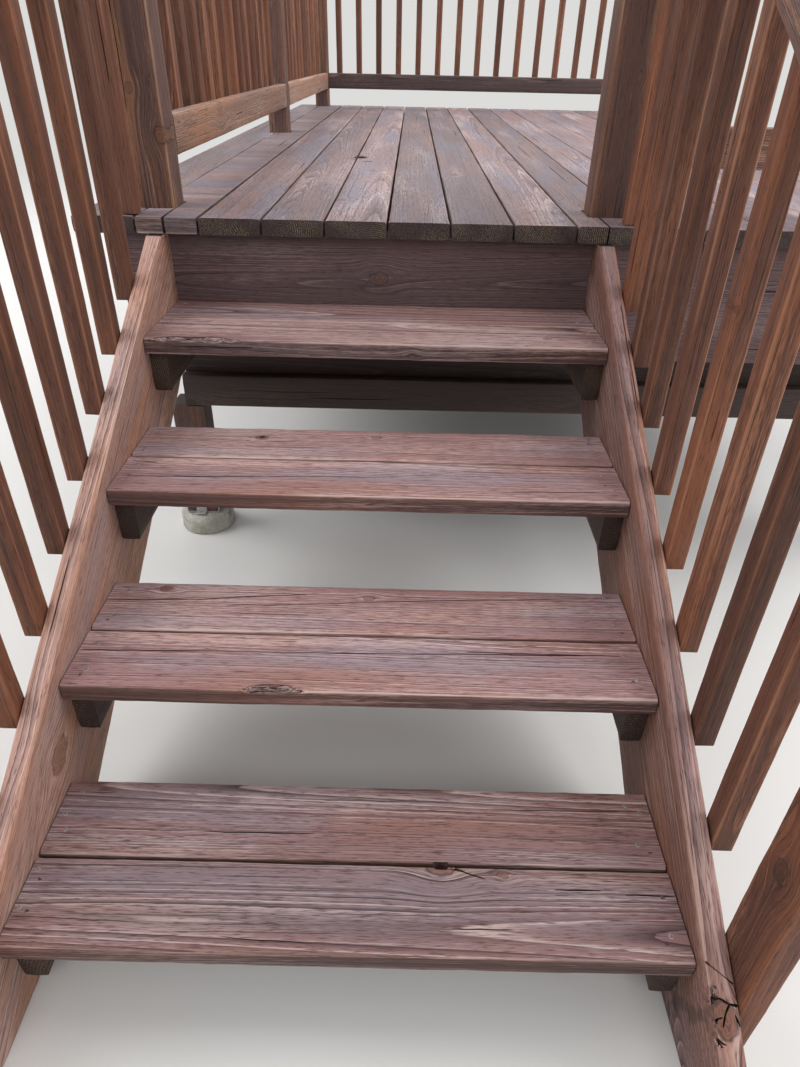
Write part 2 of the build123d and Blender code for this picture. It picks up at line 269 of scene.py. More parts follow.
def disturb(piece, axes, strength, grain, direction=None, group=""):
    """Push a surface about with soft noise that is stretched by three lengths along the grain
    axes: inwards only when there is no direction, or else both ways along that direction."""
    stretcher = bpy.data.objects.new("stretcher", None)
    scene.collection.objects.link(stretcher)
    turned = Matrix(axes).transposed().to_4x4()
    stretcher.matrix_world = turned @ Matrix.Diagonal((*grain, 1))
    bpy.context.view_layer.update()
    noise = bpy.data.textures.new("unevenness", "CLOUDS")
    noise.noise_scale = 1.0
    alone(piece)
    push = piece.modifiers.new("unevenness", "DISPLACE")
    push.texture = noise
    push.texture_coords = "OBJECT"
    push.texture_coords_object = stretcher
    push.vertex_group = group
    push.direction = direction or "NORMAL"
    push.mid_level = 0.5 if direction else 0.0
    push.strength = 2 * strength if direction else -strength
    bpy.ops.object.modifier_apply(modifier=push.name)
    bpy.data.objects.remove(stretcher)
    bpy.data.textures.remove(noise)


def crack(start, finish, level, width, deep, on_edge=False):
    """A split between two places on a face at a given level, each place along and across it. Like
    every hollow it is its middle, its half sizes, and the axis and angle by which it is turned."""
    run = Vector(finish) - Vector(start)
    middle = (Vector(start) + Vector(finish)) / 2
    angle = math.atan2(run.y, run.x)
    if on_edge:
        return (middle.x, level, middle.y), (run.length / 2, deep, width / 2), ("Y", -angle)
    return (middle.x, middle.y, level), (run.length / 2, width / 2, deep), ("Z", angle)


UNTURNED = ("Z", 0.0)
# Drying splits: half their width and their depth from least to most, the share of a stick that one
# may take up, and how close they come to its ends, its long edges and each other
SPLIT_HALF_WIDTH = (0.0004, 0.0011)
SPLIT_DEPTH = (0.003, 0.008)
SPLIT_SHARE = 0.7
TOWARDS_ENDS = 0.88
TOWARDS_EDGES = 0.8
EDGE_CLEAR = 0.004
CUT_CLEAR = 0.004


def random_cracks(sticks, rng, per_metre, longest, faces):
    """Drying splits on the given faces of every stick, thickest in their middle."""
    found = []
    for _, middle, half in sticks:
        length = 2 * half[0]
        for _ in range(int(per_metre * length + rng.random())):
            reach = rng.uniform(0.25, 1.0) * min(longest, SPLIT_SHARE * length) / 2
            axis, side = rng.choice(faces)
            other = 3 - axis
            spot = list(middle)
            spot[0] += rng.uniform(-1, 1) * (half[0] - reach) * TOWARDS_ENDS
            spot[other] += rng.uniform(-TOWARDS_EDGES, TOWARDS_EDGES) * (half[other] - EDGE_CLEAR)
            spot[axis] += side * half[axis]
            size = [reach, 0.0, 0.0]
            size[other] = rng.uniform(*SPLIT_HALF_WIDTH)
            size[axis] = rng.uniform(*SPLIT_DEPTH)
            found.append((spot, size, UNTURNED))
    return found


def clear_of(hollow, others):
    """Whether a hollow's box, along, across and through the grain, touches none of the others'."""
    def box(one):
        middle, (long, wide, deep), (axis, angle) = one
        a, b = abs(math.cos(angle)), abs(math.sin(angle))
        if axis == "Z":
            return middle, (long * a + wide * b, long * b + wide * a, deep)
        return middle, (long * a + deep * b, wide, long * b + deep * a)

    middle, half = box(hollow)
    return not any(
        all(abs(middle[n] - other[n]) < half[n] + reach[n] + CUT_CLEAR for n in range(3))
        for other, reach in map(box, others)
    )


def cut_away(piece, cutter):
    """Take one piece out of another, and throw it away."""
    alone(piece)
    cut = piece.modifiers.new("cut", "BOOLEAN")
    cut.operation = "DIFFERENCE"
    cut.solver = "EXACT"
    cut.object = cutter
    bpy.ops.object.modifier_apply(modifier=cut.name)
    bpy.data.objects.remove(cutter)


# How far a hollow's walls swing sideways, and over which lengths along and across the grain
WAVE = 0.0022
WAVE_GRAIN = (0.05, 0.3, 0.3)
LONG_HOLLOW = 0.03


def hollow_out(piece, axes, hollows):
    """Take the hollows out of the wood: each is a stretched ball, made wavy along the grain. Those
    that cross each other are cut one after another."""
    along, across, through = axes
    turned = Matrix((along, across, along.cross(across))).transposed()
    mirrored = 1 if along.cross(across).dot(through) > 0 else -1
    sideways = "XYZ"[max(range(3), key=lambda n: abs(across[n]))]
    rounds = []
    for hollow in hollows:
        free = [others for others in rounds if clear_of(hollow, others)]
        if free:
            free[0].append(hollow)
        else:
            rounds.append([hollow])
    for together in rounds:
        balls = []
        for middle, size, (axis, angle) in together:
            swing = Matrix.Rotation(angle * (mirrored if axis == "Y" else 1), 3, axis)
            bpy.ops.mesh.primitive_ico_sphere_add(
                subdivisions=3 if size[0] > LONG_HOLLOW else 2, radius=1,
                location=along * middle[0] + across * middle[1] + through * middle[2],
                rotation=(turned @ swing).to_euler(), scale=size,
            )
            balls.append(bpy.context.object)
        cutter = join(balls, "cutter")
        disturb(cutter, axes, WAVE, WAVE_GRAIN, sideways)
        cut_away(piece, cutter)


# How near a stick a place has to be to lie on it, and how far an arris reaches into the faces
ON_STICK = 0.003
ARRIS_REACH = 0.006


def mark_grain(piece, axes, seed, knots, spikes, torn, crosswise):
    """Write on each stick what the wood needs to know: where a point is in the stick, how large
    the stick is, which way its grain runs, which tree it came from, where its great knots are
    on its broad and on its narrow faces, and where it is torn to raw wood."""
    rng = random.Random(seed)
    local, sticks = sticks_in(piece, axes)
    names = ("stick", "half", "grain", "tree", "knot", "spike")
    marks = {name: np.zeros((len(local), 3), np.float32) for name in names}
    placed = [("knot", 1, *one) for one in knots] + [("spike", 2, *one) for one in spikes]
    for members, middle, half in sticks:
        def holds(spot):
            return all(abs(Vector(spot).dot(axes[n]) - middle[n]) < half[n] + ON_STICK for n in range(3))

        order = [1, 0, 2] if any(holds(spot) for spot in crosswise) else [0, 1, 2]
        marks["stick"][members] = (local[members] - middle)[:, order]
        marks["half"][members] = half[order]
        marks["grain"][members] = axes[order[0]]
        marks["tree"][members] = [rng.random() for _ in range(3)]
        marks["knot"][members] = marks["spike"][members] = NO_KNOT
        for name, side, spot, size in placed:
            if holds(spot):
                off = [Vector(spot).dot(axes[n]) - middle[n] for n in range(3)]
                marks[name][members] = (off[0], off[side], size)
    for name, values in marks.items():
        piece.data.attributes.new(name, "FLOAT_VECTOR", "POINT").data.foreach_set("vector", values.ravel())
    raw = np.zeros(len(local), np.float32)
    for spot, reach in torn:
        away = abs(local - np.array([Vector(spot).dot(axis) for axis in axes]))
        raw[(away < np.array(reach)).all(1)] = 1
    piece.data.attributes.new("torn", "FLOAT", "POINT").data.foreach_set("value", raw)
    side = marks["half"] - abs(marks["stick"])
    weight = np.clip(1.25 - np.maximum(side[:, 1], side[:, 2]) / ARRIS_REACH, 0, 1)
    group = piece.vertex_groups.new(name="arris")
    for level in (0.25, 0.5, 0.75, 1.0):
        near = np.flatnonzero((weight > level - 0.25) & (weight <= level))
        group.add(near.tolist(), level, "REPLACE")


def mix(tree, share, a, b, blend="MIX"):
    """The first colour where the share is nothing, and the second where it is one."""
    return put(tree, "Mix", {0: share, 6: a, 7: b}, out=2, data_type="RGBA", blend_type=blend)


def cloud(tree, place, scale, detail, rough, out=0):
    """Soft noise, finer the larger its scale, as a value or, from its other output, as three."""
    feeds = {"Vector": place, "Scale": scale, "Detail": detail, "Roughness": rough}
    return put(tree, "TexNoise", feeds, out=out)


def shader_group(name, inputs, outputs):
    """A new node group with named inputs and outputs, and short ways to write its sums."""
    tree = bpy.data.node_groups.new(name, "ShaderNodeTree")
    for label, kind in inputs:
        tree.interface.new_socket(label, in_out="INPUT", socket_type="NodeSocket" + kind)
    for label, kind in outputs:
        tree.interface.new_socket(label, in_out="OUTPUT", socket_type="NodeSocket" + kind)
    given = tree.nodes.new("NodeGroupInput").outputs
    result = tree.nodes.new("NodeGroupOutput").inputs

    def calc(operation, *values):
        return put(tree, "Math", values, operation=operation)

    def noise(place, stretch, detail=2.0, rough=0.5, out=0):
        spread = put(tree, "VectorMath", (place, stretch), operation="MULTIPLY")
        return cloud(tree, spread, 1.0, detail, rough, out)

    return tree, given, result, calc, noise, partial(rise, tree), partial(mix, tree)


BLACK = (0.012, 0.009, 0.008, 1.0)
TIMBER_COLOURS = ("Stain", "Faded", "Grey", "Warm", "Bare", "Deep", "End")
TIMBER_AMOUNTS = {
    "Ring": 0.0042, "Wear": 0.0, "Greyness": 0.5, "Warmth": 0.4, "Amber": 0.3, "Ridges": 0.8, "Knots": 0.5,
    "Shelter": 0.0,
}


def build_timber_group():
    """Stained, weathered softwood as a solid: growth rings round a pith outside the stick show as
    long lines on the faces and as arcs on the ends, and part round knots. Tops are bleached and
    painted lighter as light from above, and the other faces are painted darker, partly as shade."""
    tree, given, result, calc, noise, rise, mix = shader_group(
        "timber",
        [(label, "Color") for label in TIMBER_COLOURS] + [(label, "Float") for label in TIMBER_AMOUNTS],
        (("Color", "Color"), ("Roughness", "Float"), ("Height", "Float")),
    )
    times, scaled, plus, minus, over, least, most, amount = (
        partial(calc, name) for name in (
            "MULTIPLY", "MULTIPLY_ADD", "ADD", "SUBTRACT", "DIVIDE", "MINIMUM", "MAXIMUM", "ABSOLUTE",
        )
    )

    def mark(name):
        return put(tree, "Attribute", out=1, attribute_name=name)

    def parts(vector):
        node = tree.nodes.new("ShaderNodeSeparateXYZ")
        tree.links.new(vector, node.inputs[0])
        return node.outputs

    def without(value):
        return minus(1.0, value)

    def centred(value):
        return minus(value, 0.5)

    def dice(value, out=0):
        return put(tree, "TexWhiteNoise", {"W": value}, out=out, noise_dimensions="1D")

    u, v, w = parts(mark("stick"))
    half_u, half_v, half_w = parts(mark("half"))
    tree_a, tree_b, tree_c = parts(mark("tree"))
    shift = put(tree, "VectorMath", (mark("tree"), (9.0, 7.0, 5.0)), operation="MULTIPLY")
    place = put(tree, "VectorMath", (mark("stick"), shift), operation="ADD")

    # Knots: the distance from each in its own radii, and the grain that parts round it. Besides the
    # placed ones there may be one in every half metre.
    wobble = centred(noise(place, (62.0, 62.0, 62.0), 1.0, 0.6))

    def around(off_u, off_side, size, across):
        """How far off a knot is in its own radii, squared, and a place across with the grain's bend."""
        off_u = over(off_u, 1.4)
        square = plus(times(off_u, off_u), times(off_side, off_side))
        square = over(square, times(size, size))
        calm = calc("POWER", 2.718, times(square, -0.16))
        return square, minus(across, times(off_side, calm))

    at_u, at_side, size = parts(mark("knot"))
    knot_away, bent_v = around(minus(u, at_u), minus(v, at_side), size, v)
    at_u, at_side, size = parts(mark("spike"))
    spike_away, bent_w = around(minus(u, at_u), minus(w, at_side), size, w)
    SPAN = 0.5
    span = scaled(u, 1 / SPAN, times(tree_a, 17.0))
    draw = scaled(tree_b, 53.0, calc("FLOOR", span))
    chance = dice(draw)
    draws = parts(dice(draw, 1))
    off_u = minus(calc("FRACT", span), scaled(draws[0], 0.4, 0.3))
    off_side = minus(v, times(times(centred(draws[1]), 1.7), half_v))
    size = times(least(half_v, 0.045), scaled(draws[2], 0.16, 0.13))
    size = scaled(calc("LESS_THAN", chance, given["Knots"]), size, 0.00001)
    own_away, bent_v = around(times(off_u, SPAN), off_side, size, bent_v)
    away = calc("SQRT", least(least(knot_away, spike_away), own_away))
    away = scaled(wobble, 0.75, away)
    flow = put(tree, "CombineXYZ", (u, bent_v, bent_w))
    flow = put(tree, "VectorMath", (flow, shift), operation="ADD")

    # Soft patches, lengthwise streaks and fine flecks, all drawn out along the grain
    soft = parts(noise(flow, (1.7, 10.0, 10.0), 1.0, 0.6, out=1))
    streak = noise(flow, (1.6, 95.0, 95.0), 2.0, 0.65)
    fleck = noise(flow, (30.0, 540.0, 540.0), 2.0, 0.75)
    dark_fleck = without(rise(fleck, 0.32, 0.47))

    # Growth rings: a pale ridge of hard late wood, and just behind it a dark line that fades out
    broad = parts(noise(place, (1.1, 7.0, 7.0), 0.0, 0.5, out=1))
    from_pith_v = scaled(centred(tree_a), 0.36, bent_v)
    from_pith_v = scaled(centred(broad[0]), 0.030, from_pith_v)
    from_pith_w = plus(bent_w, scaled(tree_b, 0.06, 0.03))
    lean = times(centred(tree_c), 0.05)
    from_pith_w = scaled(u, lean, from_pith_w)
    from_pith_w = scaled(centred(broad[1]), 0.020, from_pith_w)
    square = plus(times(from_pith_v, from_pith_v), times(from_pith_w, from_pith_w))
    ring_size = times(given["Ring"], plus(tree_c, 0.65))
    years = over(calc("SQRT", square), ring_size)
    years = scaled(centred(streak), 0.22, years)
    season = calc("FRACT", years)
    strength = times(rise(dice(calc("FLOOR", years)), 0.05, 0.95), given["Ridges"])
    ridge = times(rise(season, 0.66, 0.92), without(rise(season, 0.94, 1.0)))
    line = calc("POWER", without(season), 3.0)

    # Hair checks: thin dark lines along the grain that start and stop
    CELL = 0.011
    cross = scaled(bent_w, 1.31, bent_v)
    cross = over(scaled(centred(broad[2]), 0.02, cross), CELL)
    row = plus(calc("FLOOR", cross), times(tree_a, 91.0))
    line_at = scaled(dice(row), 0.6, 0.2)
    beside = times(amount(minus(calc("FRACT", cross), line_at)), CELL)
    reach = put(tree, "CombineXYZ", (times(u, 4.2), times(row, 3.7), 0.0))
    reach = put(tree, "TexNoise", {"Vector": reach, "Scale": 1.0, "Detail": 0.0}, noise_dimensions="2D")
    reach = rise(reach, 0.56, 0.70)
    check = times(without(rise(beside, 0.0002, 0.0011)), reach)

    # Where on the stick: facing up, near an arris, at an end, on end grain, or inside a split
    normal = tree.nodes.new("ShaderNodeNewGeometry").outputs["Normal"]
    up = rise(parts(normal)[2], 0.35, 0.85)
    weather = without(times(given["Shelter"], without(up)))
    side_v = minus(half_v, amount(v))
    side_w = minus(half_w, amount(w))
    side_u = minus(half_u, amount(u))
    facing = put(tree, "VectorMath", (normal, mark("grain")), out=1, operation="DOT_PRODUCT")
    end = rise(amount(facing), 0.55, 0.75)
    corner = most(side_v, side_w)
    inside = least(side_u, least(side_v, side_w))
    inside = times(rise(inside, 0.0012, 0.0034), without(end))
    torn = put(tree, "Attribute", out=2, attribute_name="torn")

    # Colour: the stain by exposure, with up-facing faces lighter as bleaching and as painted light from above
    # and the sides darker, partly as painted shade, then greyed, warm and worn patches, rings, flecks and
    # arrises
    # Up-facing faces take the lighter top colour: partly bleaching, partly painted light from above
    bleached_and_toplit = times(up, scaled(soft[0], 0.5, 0.62))
    colour = mix(bleached_and_toplit, given["Stain"], given["Faded"])
    greyed = scaled(centred(streak), 0.45, soft[1])
    greyed = rise(scaled(centred(fleck), 0.45, greyed), 0.45, 0.62)
    greyed = times(times(greyed, weather), given["Greyness"])
    colour = mix(greyed, colour, given["Grey"])
    warmed = rise(scaled(centred(streak), 0.6, soft[2]), 0.46, 0.70)
    colour = mix(times(warmed, given["Warmth"]), colour, given["Warm"])
    amber = times(without(rise(corner, 0.004, 0.020)), soft[2])
    colour = mix(times(amber, given["Amber"]), colour, given["Warm"])
    worn = scaled(centred(streak), 0.40, soft[0])
    worn = scaled(centred(fleck), 0.90, worn)
    worn = scaled(times(ridge, strength), 0.20, worn)
    worn = times(rise(plus(worn, given["Wear"]), 0.54, 0.76), weather)
    colour = mix(times(worn, 0.50), colour, given["Bare"])
    crest = times(times(ridge, strength), scaled(worn, 0.45, 0.40))
    colour = mix(times(crest, weather), colour, given["Bare"])
    colour = mix(times(dark_fleck, 0.75), colour, given["Deep"])
    colour = mix(times(times(line, strength), 0.95), colour, given["Deep"])
    rubbed = rise(plus(soft[0], streak), 0.92, 1.12)
    rubbed = times(without(rise(corner, 0.0015, 0.0065)), rubbed)
    colour = mix(times(rubbed, 0.6), colour, given["Bare"])
    shade = scaled(tree_b, 0.44, 0.76)
    colour = mix(1.0, colour, put(tree, "CombineXYZ", (shade, shade, shade)), "MULTIPLY")

    # Colour of knots, cut ends and checks, and the insides of splits and hollows, which are painted black as
    # shade unless torn to raw wood
    turns = calc("FRACT", scaled(wobble, 1.5, times(away, 3.0)))
    heart = mix(scaled(rise(turns, 0.2, 0.9), 0.4, 0.35), given["Warm"], given["Deep"])
    colour = mix(times(without(rise(away, 0.80, 1.0)), 0.8), colour, heart)
    rim = without(rise(amount(minus(away, 1.0)), 0.03, 0.20))
    colour = mix(times(rim, streak), colour, BLACK)
    speckle = noise(place, (430.0, 430.0, 430.0), 1.0, 0.7)
    arcs = times(rise(season, 0.50, 0.85), without(rise(season, 0.90, 1.0)))
    cut = times(times(arcs, rise(speckle, 0.36, 0.58)), rise(soft[2], 0.40, 0.64))
    cut_end = mix(cut, mix(rise(speckle, 0.42, 0.72), given["Deep"], given["Stain"]), given["End"])
    colour = mix(end, colour, cut_end)
    colour = mix(times(check, 0.82), colour, BLACK)
    # Inside a split or hollow the wood is painted black as shade; raw wood shows only where it is torn
    raw = mix(rise(fleck, 0.40, 0.62), given["Deep"], given["Bare"])
    raw = mix(torn, BLACK, raw)
    colour = mix(times(inside, 0.94), colour, raw)
    tree.links.new(colour, result["Color"])

    rough = scaled(worn, 0.10, 0.60)
    rough = scaled(streak, 0.16, rough)
    tree.links.new(rough, result["Roughness"])

    height = noise(place, (14.0, 330.0, 330.0), 1.0, 0.8)
    tree.links.new(height, result["Height"])
    return tree


timber = build_timber_group()


# The depth of the grain's relief, how strongly it shows, and the gloss of the dry stain
RELIEF = 0.0008
RELIEF_SHOWS = 0.85
GLOSS = 0.35


def stained_wood(name, **finish):
    """One finish of the stained wood. Colours are red, green and blue of the dry surface."""
    wood, tree, shader = new_material(name)
    grain = tree.nodes.new("ShaderNodeGroup")
    grain.node_tree = timber
    feed(tree, grain, {label: (*finish[label], 1.0) for label in TIMBER_COLOURS})
    feed(tree, grain, {label: finish.get(label, usual) for label, usual in TIMBER_AMOUNTS.items()})
    bump = {"Strength": RELIEF_SHOWS, "Distance": RELIEF, "Height": grain.outputs["Height"]}
    feed(tree, shader, {
        "Base Color": grain.outputs["Color"], "Roughness": grain.outputs["Roughness"],
        "Specular IOR Level": GLOSS, "Normal": put(tree, "Bump", bump),
    })
    return wood


# How far the faces sink, over which lengths along and across the grain, and the same lengths for
# the chips in the arrises
SHRINK = 0.0012
SHRINK_GRAIN = (0.55, 0.11, 0.11)
CHIP_GRAIN = (0.06, 0.02, 0.02)
# Faces that split, each as its axis, 1 across and 2 through the grain, and its side
TOP_FACE = ((2, 1),)
BROAD_FACES = ((2, 1), (2, -1))


def timber_piece(node, axes, spacing, wood, seed, chip=0.002, splits=(0, 0.3), faces=TOP_FACE,
                 hollows=(), knots=(), spikes=(), torn=(), crosswise=()):
    """Make one CAD node's sticks into worn timber and put the piece in the node's place. The axes
    run along, across and through the grain, and splits gives how many a metre and how long."""
    piece = sawn_copy(node, node + "_timber")
    slice_up(piece, spacing)
    cuts = list(hollows)
    sticks = sticks_in(piece, axes)[1]
    cuts += random_cracks(sticks, random.Random(seed), *splits, faces)
    if cuts:
        hollow_out(piece, axes, cuts)
        if len(sticks_in(piece, axes)[1]) != len(sticks):
            raise RuntimeError(f"{node}: {len(sticks)} sticks became {len(sticks_in(piece, axes)[1])}")
    mark_grain(piece, axes, seed, knots, spikes, torn, crosswise)
    disturb(piece, axes, SHRINK, SHRINK_GRAIN)
    disturb(piece, axes, chip, CHIP_GRAIN, group="arris")
    piece.vertex_groups.clear()
    alone(piece)
    bpy.ops.object.shade_smooth_by_angle(angle=math.radians(35))
    piece.data.materials.append(wood)
    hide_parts(node)
    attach(piece, "root")
    return piece


# The dark side colour of the tread wood is partly painted shade under light from above
tread_wood = stained_wood(
    "tread_wood", Stain=(0.080, 0.046, 0.041), Faded=(0.330, 0.188, 0.186), Grey=(0.275, 0.212, 0.240),
    Warm=(0.33, 0.150, 0.105), Bare=(0.60, 0.455, 0.420), Deep=(0.044, 0.020, 0.021), End=(0.16, 0.12, 0.08),
    Wear=0.02, Greyness=0.8, Warmth=0.45, Amber=0.40, Ridges=1.0, Knots=0.25, Shelter=0.6,
)
tread_low, tread_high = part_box("tread_1")
TREAD_MIDDLE = (tread_low.x + tread_high.x) / 2
# Splits seen in each tread: start and end in metres right of the middle and back from the nose,
# and the width
TREAD_SPLITS = {
    1: (((-0.490, 0.044), (-0.300, 0.041), 0.0010), ((-0.185, 0.024), (-0.055, 0.016), 0.0012),
        ((0.415, 0.101), (0.490, 0.098), 0.0014), ((0.150, 0.138), (0.178, 0.130), 0.0022),
        ((0.172, 0.131), (0.206, 0.119), 0.0014)),
    2: (((-0.492, 0.225), (-0.300, 0.232), 0.0030), ((-0.330, 0.231), (-0.115, 0.254), 0.0022),
        ((-0.264, 0.213), (-0.020, 0.232), 0.0014), ((-0.040, 0.232), (0.488, 0.266), 0.0016),
        ((-0.488, 0.087), (-0.230, 0.091), 0.0020), ((-0.250, 0.090), (0.180, 0.097), 0.0012),
        ((0.100, 0.096), (0.455, 0.103), 0.0022)),
    3: (((-0.470, 0.055), (-0.200, 0.066), 0.0026), ((-0.220, 0.066), (0.060, 0.076), 0.0014),
        ((0.250, 0.028), (0.455, 0.034), 0.0020), ((-0.480, 0.118), (-0.425, 0.112), 0.0018)),
    4: (((-0.300, 0.060), (-0.190, 0.058), 0.0016), ((0.140, 0.072), (0.490, 0.066), 0.0020),
        ((-0.420, 0.120), (-0.370, 0.121), 0.0014)),
}
# Knots in the tops: right of the middle, back from the nose, radius
TREAD_KNOTS = {
    1: ((0.138, 0.139, 0.015),),
    2: ((-0.3875, 0.263, 0.0095),),
    3: ((0.2025, 0.189, 0.012), (-0.2395, 0.236, 0.010)),
    4: (),
}
# Holes left by lost knots: right of the middle, back from the nose, and half sizes
LOST_KNOTS = {
    1: ((0.138, 0.1405), (0.015, 0.0055, 0.030)),
    3: ((-0.2395, 0.236), (0.006, 0.004, 0.014)),
}
# Front arrises torn to splinters: middle, half length, and how far back and down
TORN_ARRISES = {2: (-0.142, 0.055, 0.008, 0.008), 4: (-0.382, 0.100, 0.010, 0.008)}
# How such an arris is torn: shares of its length and where on it, strands side by side, each
# shorter than the one before, and how far back and down the wood is raw
TEARS = ((1.0, 0.0), (0.45, -0.4), (0.35, 0.35))
STRANDS = 5
STRAND_STEP = 0.0030
STRAND_WIDTH = 0.0016
STRAND_DEPTH = 0.009
STRAND_LOSS = 0.13
TORN_BACK = 0.022
TORN_DOWN = 0.014
# A knot in the nose of tread 4, the least depth of a split, and the wood of each tread
NOSE_KNOT = (-0.367, -1.547, 0.692)
LEAST_DEPTH = 0.007
TREES = {1: 181, 2: 97, 3: 97, 4: 223}
treads = []
for number in range(1, 5):
    low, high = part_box(f"tread_{number}")
    top = high.z

    def on_tread(right, back):
        return Vector((TREAD_MIDDLE + right, low.y + back))

    hollows = [
        crack(on_tread(*start), on_tread(*finish), top, width, LEAST_DEPTH + 2 * width)
        for start, finish, width in TREAD_SPLITS[number]
    ]
    if number in LOST_KNOTS:
        spot, size = LOST_KNOTS[number]
        hollows.append(((*on_tread(*spot), top), size, UNTURNED))
    torn = []
    if number in TORN_ARRISES:
        middle, reach, back, down = TORN_ARRISES[number]
        for share, offset in TEARS:
            spot = (*on_tread(middle + offset * reach, 0.001), top)
            hollows.append((spot, (share * reach, back / (share + 0.2), down), UNTURNED))
        for n in range(STRANDS):
            shorter = reach * (1 - STRAND_LOSS * n)
            start = on_tread(middle - shorter, 0.001 + STRAND_STEP * n)
            finish = on_tread(middle + 0.9 * shorter, 0.003 + STRAND_STEP * n)
            hollows.append(crack(start, finish, top - down / 2, STRAND_WIDTH, STRAND_DEPTH))
        torn.append(((*on_tread(middle, 0.0), top), (1.05 * reach, TORN_BACK, TORN_DOWN)))
    treads.append(timber_piece(
        f"tread_{number}", ALONG_X, (0.011, 0.0095, 0.0095), tread_wood, TREES[number],
        chip=0.0035, splits=(2.0, 0.22), faces=((2, 1), (2, 1), (1, -1)), hollows=hollows,
        knots=[((*on_tread(right, back), top), size) for right, back, size in TREAD_KNOTS[number]],
        spikes=((NOSE_KNOT, 0.006),), torn=torn,
    ))


# The heads of screws and nails, and the arms of the screws' cross
SCREW_RADIUS = 0.0043
SCREW_THICK = 0.0024
SCREW_RIM = 0.0005
CROSS = (0.0050, 0.0013, 0.0018)
NAIL_RADIUS = 0.0037
NAIL_THICK = 0.0020
# How the top of a nail goes from its edge to its dished middle, in steps inwards and upwards
NAIL_STEPS = ((0.0007, 0.0003), (0.0012, -0.0006))


def screw_head():
    """A flat screw head with a rounded rim and a cross sunk into it."""
    bpy.ops.object.select_all(action="DESELECT")
    bpy.ops.mesh.primitive_cylinder_add(vertices=16, radius=SCREW_RADIUS, depth=SCREW_THICK)
    head = bpy.context.object
    round_edges(head, SCREW_RIM, 2, 60)
    for angle in (0.0, math.pi / 2):
        bpy.ops.mesh.primitive_cube_add(
            size=1, location=(0, 0, SCREW_THICK / 2), rotation=(0, 0, angle), scale=CROSS
        )
        cut_away(head, bpy.context.object)
    return head


def edit_faces(piece, chosen):
    """Open a piece for editing with only the faces selected that the given test chooses."""
    for face in piece.data.polygons:
        face.select = chosen(face)
    bpy.ops.object.mode_set(mode="EDIT")
    bpy.ops.mesh.select_mode(type="FACE")


def nail_head():
    """A round nail head, dished by the hammer."""
    bpy.ops.object.select_all(action="DESELECT")
    bpy.ops.mesh.primitive_cylinder_add(vertices=12, radius=NAIL_RADIUS, depth=NAIL_THICK)
    head = bpy.context.object
    edit_faces(head, lambda face: face.normal.z > 0.9)
    for inwards, upwards in NAIL_STEPS:
        bpy.ops.mesh.inset(thickness=inwards)
        bpy.ops.transform.translate(value=(0, 0, upwards))
    bpy.ops.object.mode_set(mode="OBJECT")
    return head


def old_metal(name, clean, rust, rusted, metallic):
    """Steel that has lost its coat in spots and rusts there."""
    metal, tree, shader = new_material(name)
    spots = cloud(tree, put(tree, "TexCoord", out=3), 420.0, 4.0, 0.65)
    share = rise(tree, spots, rusted - 0.08, rusted + 0.08)
    feed(tree, shader, {
        "Base Color": mix(tree, share, (*rust, 1.0), (*clean, 1.0)),
        "Metallic": put(tree, "Math", (share, metallic), operation="MULTIPLY"),
        "Roughness": put(tree, "MapRange", (share, 0.0, 1.0, 0.85, 0.42)),
        "Normal": put(tree, "Bump", {"Distance": 0.0002, "Height": spots}),
    })
    return metal


# How far outside the wood the way in of a fastener starts, and how far its head sinks in
OUTSIDE = 0.2
SINK = 0.0007


def drive_in(head, places, name, metal):
    """Drive a fastener into the wood at each place, flush with the worn surface, and join them.
    A place is the piece of wood, a point outside it, and the way in."""
    rng = random.Random(name)
    bpy.context.view_layer.update()
    driven = []
    for wood, outside, inward in places:
        found, surface, _, _ = wood.ray_cast(outside, inward)
        if found:
            copy = bpy.data.objects.new(name, head.data.copy())
            scene.collection.objects.link(copy)
            spin = Matrix.Rotation(rng.uniform(0, 3), 3, "Z")
            facing = (-inward).to_track_quat("Z", "Y").to_matrix() @ spin
            copy.matrix_world = Matrix.Translation(surface + inward * SINK) @ facing.to_4x4()
            driven.append(copy)
    bpy.context.view_layer.update()
    whole = join(driven, name)
    whole.data.materials.append(metal)
    bpy.ops.object.shade_smooth_by_angle(angle=math.radians(40))
    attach(whole, "root")
    return whole


# Fasteners of the treads: in millimetres from the left end and from the nose, as they were driven
TREAD_SCREWS = {
    1: ((26, 256), (14, 215), (26, 186), (11, 117), (9, 58), (945, 256), (965, 242), (948, 184), (952, 99),
        (959, 40)),
    2: ((32, 254), (31, 179), (28, 103), (32, 39), (951, 265), (953, 188), (950, 106), (961, 45)),
    3: ((28, 250), (20, 180), (30, 105), (14, 45), (955, 255), (962, 180), (950, 100), (960, 42)),
    4: ((24, 255), (33, 186), (22, 112), (30, 40), (958, 250), (950, 176), (962, 108), (951, 36)),
}
TREAD_NAILS = {
    1: ((21, 103), (23, 51), (964, 172), (963, 98), (950, 30)),
    2: ((23, 165), (27, 27), (963, 166), (951, 40)),
    3: ((18, 165), (24, 58), (952, 240), (950, 60)),
    4: ((30, 240), (16, 98), (949, 92), (963, 52)),
}
ABOVE = 0.05
screw_steel = old_metal("screw_steel", (0.50, 0.48, 0.46), (0.10, 0.055, 0.040), 0.42, 0.85)
nail_steel = old_metal("nail_steel", (0.16, 0.12, 0.11), (0.045, 0.024, 0.018), 0.55, 0.6)
screw, nail = screw_head(), nail_head()
for head, rows, name, metal in (
    (screw, TREAD_SCREWS, "tread_screws", screw_steel), (nail, TREAD_NAILS, "tread_nails", nail_steel)
):
    places = []
    for number, tread in enumerate(treads, 1):
        low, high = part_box(f"tread_{number}")
        for from_left, from_nose in rows[number]:
            spot = Vector((low.x + from_left / 1000, low.y + from_nose / 1000, high.z + ABOVE))
            places.append((tread, spot, -Z))
    drive_in(head, places, name, metal)

